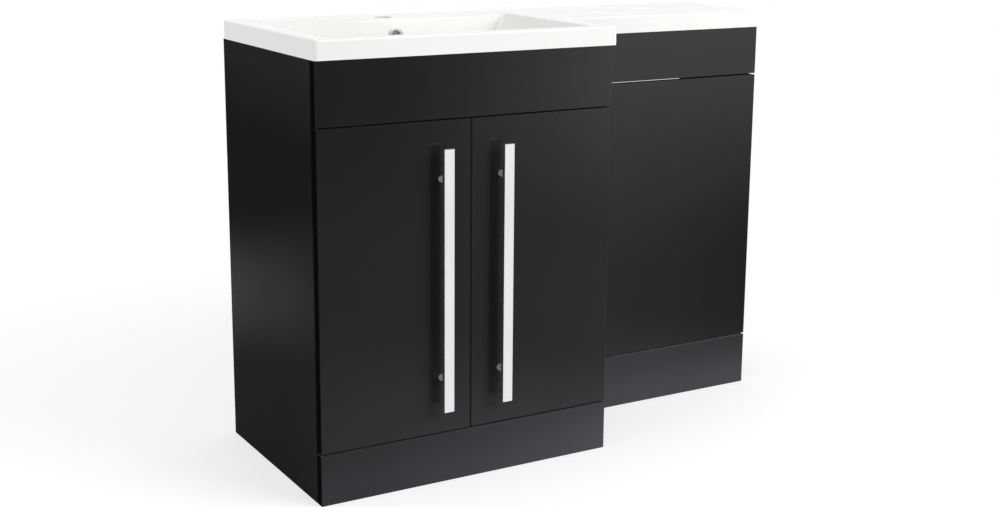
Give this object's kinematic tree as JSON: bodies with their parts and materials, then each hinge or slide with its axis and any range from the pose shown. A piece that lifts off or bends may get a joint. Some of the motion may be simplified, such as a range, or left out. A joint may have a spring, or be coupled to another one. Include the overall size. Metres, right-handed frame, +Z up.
{
  "type": "toilet and basin combination unit",
  "caption": "Black gloss vanity cupboard with two hinged doors and bar handles beside a shallower toilet housing, under a one-piece white L-shaped basin top.",
  "frame": {"origin": "on the floor, under the middle of the whole unit's bounding box", "axes": "+Z up, +X to the right seen from the front, +Y towards the wall behind; the doors face -Y"},
  "size_m": [1.1, 0.462, 0.825],
  "materials": {
    "white_resin": "cast marble resin with a white gloss gel coat",
    "black_gloss": "high gloss black foil on board",
    "dark_board": "matt dark melamine on chipboard",
    "satin_handle": "satin",
    "handle_post_metal": "satin",
    "bright_trim": "polished",
    "clear_buffer": "clear soft",
    "white_plastic": "moulded",
    "hinge_metal": "nickel plated",
    "fixing_steel": "zinc plated"
  },
  "bodies": {
    "cabinet": {"basin_top": "white_resin", "overflow_ring": "bright_trim", "vanity_side_left": "black_gloss", "vanity_side_right": "black_gloss", "vanity_base": "dark_board", "vanity_shelf": "dark_board", "shelf_pins": "fixing_steel", "vanity_front_rail": "dark_board", "vanity_top_back_rail": "dark_board", "vanity_low_back_rail": "dark_board", "vanity_fascia": "black_gloss", "vanity_plinth": "black_gloss", "front_fixing_blocks": "dark_board", "cam_fittings": "fixing_steel", "wc_side_left": "black_gloss", "wc_side_right": "black_gloss", "wc_top_rail": "dark_board", "wc_middle_rail": "dark_board", "wc_base_rail": "dark_board", "wc_back_rail": "dark_board", "wc_front_panel": "black_gloss", "wc_plinth": "black_gloss", "peg_sockets": "white_plastic", "cabinet_connectors": "fixing_steel", "wall_brackets": "fixing_steel", "hinge_plates": "hinge_metal", "plate_screws": "fixing_steel", "hinge_arms": "hinge_metal", "arm_pins": "fixing_steel"},
    "service_fascia": {"wc_fascia": "black_gloss", "fascia_pegs": "white_plastic"},
    "left_leaf": {"left_door": "black_gloss", "left_hinge_cups": "hinge_metal", "left_cup_screws": "fixing_steel", "left_cup_pins": "fixing_steel", "left_buffers": "clear_buffer", "left_handle_bar": "satin_handle", "left_handle_posts": "handle_post_metal", "left_handle_screws": "fixing_steel"},
    "left_long_link": {"left_long_links": "hinge_metal"},
    "left_short_link": {"left_short_links": "hinge_metal"},
    "right_leaf": {"right_door": "black_gloss", "right_hinge_cups": "hinge_metal", "right_cup_screws": "fixing_steel", "right_cup_pins": "fixing_steel", "right_buffers": "clear_buffer", "right_handle_bar": "satin_handle", "right_handle_posts": "handle_post_metal", "right_handle_screws": "fixing_steel"},
    "right_long_link": {"right_long_links": "hinge_metal"},
    "right_short_link": {"right_short_links": "hinge_metal"}
  },
  "joints": [
    {"name": "left_long_link_swing", "type": "hinge", "parent": "cabinet", "child": "left_long_link", "pos_m": [-0.515, -0.155, 0.38525], "axis": [0, 0, -1], "range_deg": [-23.75, 0]},
    {"name": "left_door_swing", "type": "hinge", "parent": "left_long_link", "child": "left_leaf", "pos_m": [-0.5405, -0.1852, 0.38525], "axis": [0, 0, -1], "range_deg": [0, 118.75]},
    {"name": "left_short_link_swing", "type": "hinge", "parent": "cabinet", "child": "left_short_link", "pos_m": [-0.514, -0.177, 0.38525], "axis": [0, 0, -1], "range_deg": [-22.32, 0]},
    {"name": "right_long_link_swing", "type": "hinge", "parent": "cabinet", "child": "right_long_link", "pos_m": [0.015, -0.155, 0.38525], "axis": [0, 0, 1], "range_deg": [-23.75, 0]},
    {"name": "right_door_swing", "type": "hinge", "parent": "right_long_link", "child": "right_leaf", "pos_m": [0.0405, -0.1852, 0.38525], "axis": [0, 0, 1], "range_deg": [0, 118.75]},
    {"name": "right_short_link_swing", "type": "hinge", "parent": "cabinet", "child": "right_short_link", "pos_m": [0.014, -0.177, 0.38525], "axis": [0, 0, 1], "range_deg": [-22.32, 0]},
    {"name": "service_fascia_pull", "type": "slide", "parent": "cabinet", "child": "service_fascia", "axis": [0, -1, 0], "range_m": [0, 0.06]}
  ],
  "couplings": [
    {"joint": "left_long_link_swing", "follows": "left_door_swing", "ratio": -0.2},
    {"joint": "left_short_link_swing", "follows": "left_door_swing", "ratio": -0.188},
    {"joint": "right_long_link_swing", "follows": "right_door_swing", "ratio": -0.2},
    {"joint": "right_short_link_swing", "follows": "right_door_swing", "ratio": -0.188}
  ]
}
